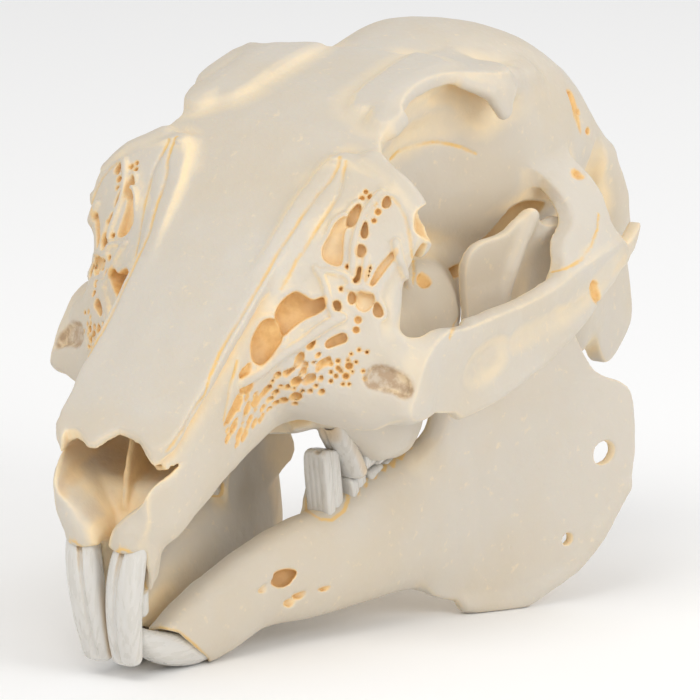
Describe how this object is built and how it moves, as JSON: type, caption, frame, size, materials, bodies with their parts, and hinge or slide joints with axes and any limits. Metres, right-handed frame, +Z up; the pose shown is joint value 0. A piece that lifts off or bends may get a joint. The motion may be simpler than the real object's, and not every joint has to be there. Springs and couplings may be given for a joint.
{
  "type": "rabbit skull",
  "caption": "Cleaned skull of an adult domestic rabbit with its lower jaws and teeth in place, standing on the jaws.",
  "frame": {"origin": "centre of the underside of the whole skull's box, on the surface that it stands on", "axes": "+Y from the muzzle to the nape, +X to the animal's left, +Z up as the skull stands on its chin and jaw angles"},
  "size_m": [0.0472, 0.0908, 0.0629],
  "materials": {
    "cranium_bone": "dry ivory bone, matte",
    "jaw_bone": "dry ivory bone, matte",
    "enamel": "white tooth enamel, satin"
  },
  "bodies": {
    "root": {"cranium": "cranium_bone", "mandible_left": "jaw_bone", "mandible_right": "jaw_bone", "upper_incisor_left": "enamel", "peg_tooth_left": "enamel", "lower_incisor_left": "enamel", "upper_p2_left": "enamel", "upper_p3_left": "enamel", "upper_p4_left": "enamel", "upper_m1_left": "enamel", "upper_m2_left": "enamel", "upper_m3_left": "enamel", "lower_p3_left": "enamel", "lower_p4_left": "enamel", "lower_m1_left": "enamel", "lower_m2_left": "enamel", "lower_m3_left": "enamel", "upper_incisor_right": "enamel", "peg_tooth_right": "enamel", "lower_incisor_right": "enamel", "upper_p2_right": "enamel", "upper_p3_right": "enamel", "upper_p4_right": "enamel", "upper_m1_right": "enamel", "upper_m2_right": "enamel", "upper_m3_right": "enamel", "lower_p3_right": "enamel", "lower_p4_right": "enamel", "lower_m1_right": "enamel", "lower_m2_right": "enamel", "lower_m3_right": "enamel"}
  },
  "joints": []
}
